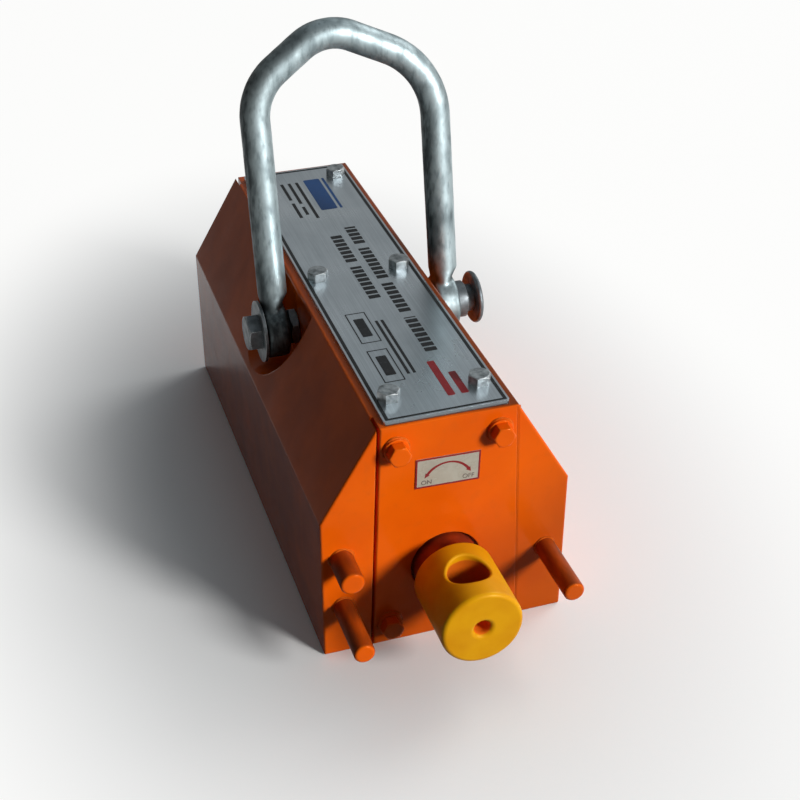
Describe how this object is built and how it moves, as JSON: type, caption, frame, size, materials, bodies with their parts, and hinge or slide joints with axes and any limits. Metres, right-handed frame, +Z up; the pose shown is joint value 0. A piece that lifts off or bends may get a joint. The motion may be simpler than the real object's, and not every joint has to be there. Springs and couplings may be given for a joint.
{
  "type": "permanent magnetic lifter",
  "caption": "Switchable permanent magnet lifter: painted steel pole blocks around a turning magnet core with a lever hub and stop pins, hung from a swinging shackle.",
  "frame": {"origin": "middle of the underside, on the spacer strip between the two pole faces", "axes": "+Z up out of the load, -Y out of the end with the lever hub, +X to the right seen from that end"},
  "size_m": [0.174, 0.4588, 0.3512],
  "materials": {
    "orange_enamel": "gloss brushed enamel",
    "yellow_enamel": "gloss brushed enamel",
    "galvanised_steel": "galvanised, mottled",
    "zinc_plated_steel": "zinc plated",
    "plate_aluminium": "satin anodised",
    "label_film": "printed film",
    "turned_steel": "turned",
    "magnet_alloy": "nickel plated",
    "bearing_brass": "machined"
  },
  "bodies": {
    "housing": {"left_pole_block": "orange_enamel", "right_pole_block": "orange_enamel", "top_spacer_bar": "plate_aluminium", "bottom_spacer_strip": "bearing_brass", "fixed_magnets": "magnet_alloy", "front_cover": "orange_enamel", "rear_cover": "orange_enamel", "front_bush": "bearing_brass", "rear_bush": "bearing_brass", "front_thrust_washer": "bearing_brass", "rear_thrust_washer": "bearing_brass", "front_cover_bolts": "orange_enamel", "rear_cover_bolts": "orange_enamel", "front_cover_washers": "orange_enamel", "rear_cover_washers": "orange_enamel", "nameplate": "plate_aluminium", "nameplate_bolts": "zinc_plated_steel", "switch_label": "label_film", "latch_pin": "orange_enamel", "on_stop_pin": "orange_enamel", "off_stop_pin": "orange_enamel", "left_pivot_bolt": "zinc_plated_steel", "left_pivot_washer": "zinc_plated_steel", "left_lock_nut": "zinc_plated_steel", "right_pivot_pin": "zinc_plated_steel", "right_pivot_sleeve": "zinc_plated_steel", "right_lock_nut": "zinc_plated_steel"},
    "core": {"core_upper_pole": "turned_steel", "core_lower_pole": "turned_steel", "core_magnets": "magnet_alloy", "front_core_flange": "turned_steel", "rear_core_flange": "turned_steel", "front_flange_screws": "turned_steel", "rear_flange_screws": "turned_steel", "lever_hub": "yellow_enamel", "hub_lock_pin": "turned_steel"},
    "lifting_shackle": {"shackle": "galvanised_steel"}
  },
  "joints": [
    {"name": "core_turn", "type": "hinge", "parent": "housing", "child": "core", "pos_m": [0, -0.19, 0.0585], "axis": [0, -1, 0], "range_deg": [-77.1, 89.6]},
    {"name": "shackle_swing", "type": "hinge", "parent": "housing", "child": "lifting_shackle", "pos_m": [0, 0, 0.14], "axis": [1, 0, 0], "range_deg": [-51, 69]}
  ]
}
